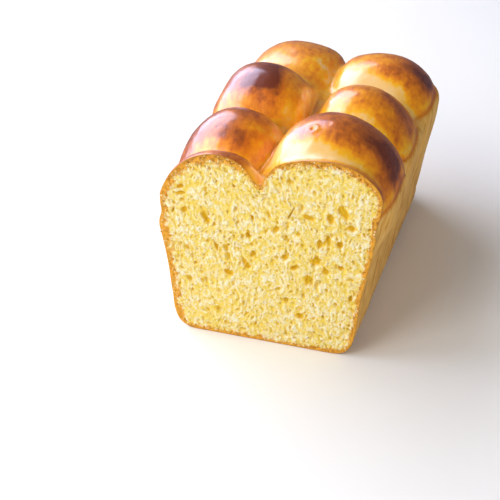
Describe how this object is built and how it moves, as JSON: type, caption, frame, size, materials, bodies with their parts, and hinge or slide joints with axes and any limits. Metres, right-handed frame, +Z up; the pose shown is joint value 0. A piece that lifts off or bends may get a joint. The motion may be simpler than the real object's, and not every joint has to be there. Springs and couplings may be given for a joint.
{
  "type": "brioche loaf",
  "caption": "Tin-baked loaf of egg-washed dough balls in paired rows, cut straight across at the front to show the crumb; stands on its flat base.",
  "frame": {"origin": "middle of the loaf's bounding box, at the level of the base it stands on", "axes": "+X to the right of the cut face seen from the front, +Y from the cut face to the baked back end, +Z up"},
  "size_m": [0.1224, 0.1988, 0.1195],
  "materials": {
    "crust": "egg-washed brown crust, glossy on the domes and pale golden in the creases and on the sides",
    "crumb": "soft pale yellow crumb with small open pores"
  },
  "bodies": {
    "root": {"loaf": "crust"}
  },
  "joints": []
}
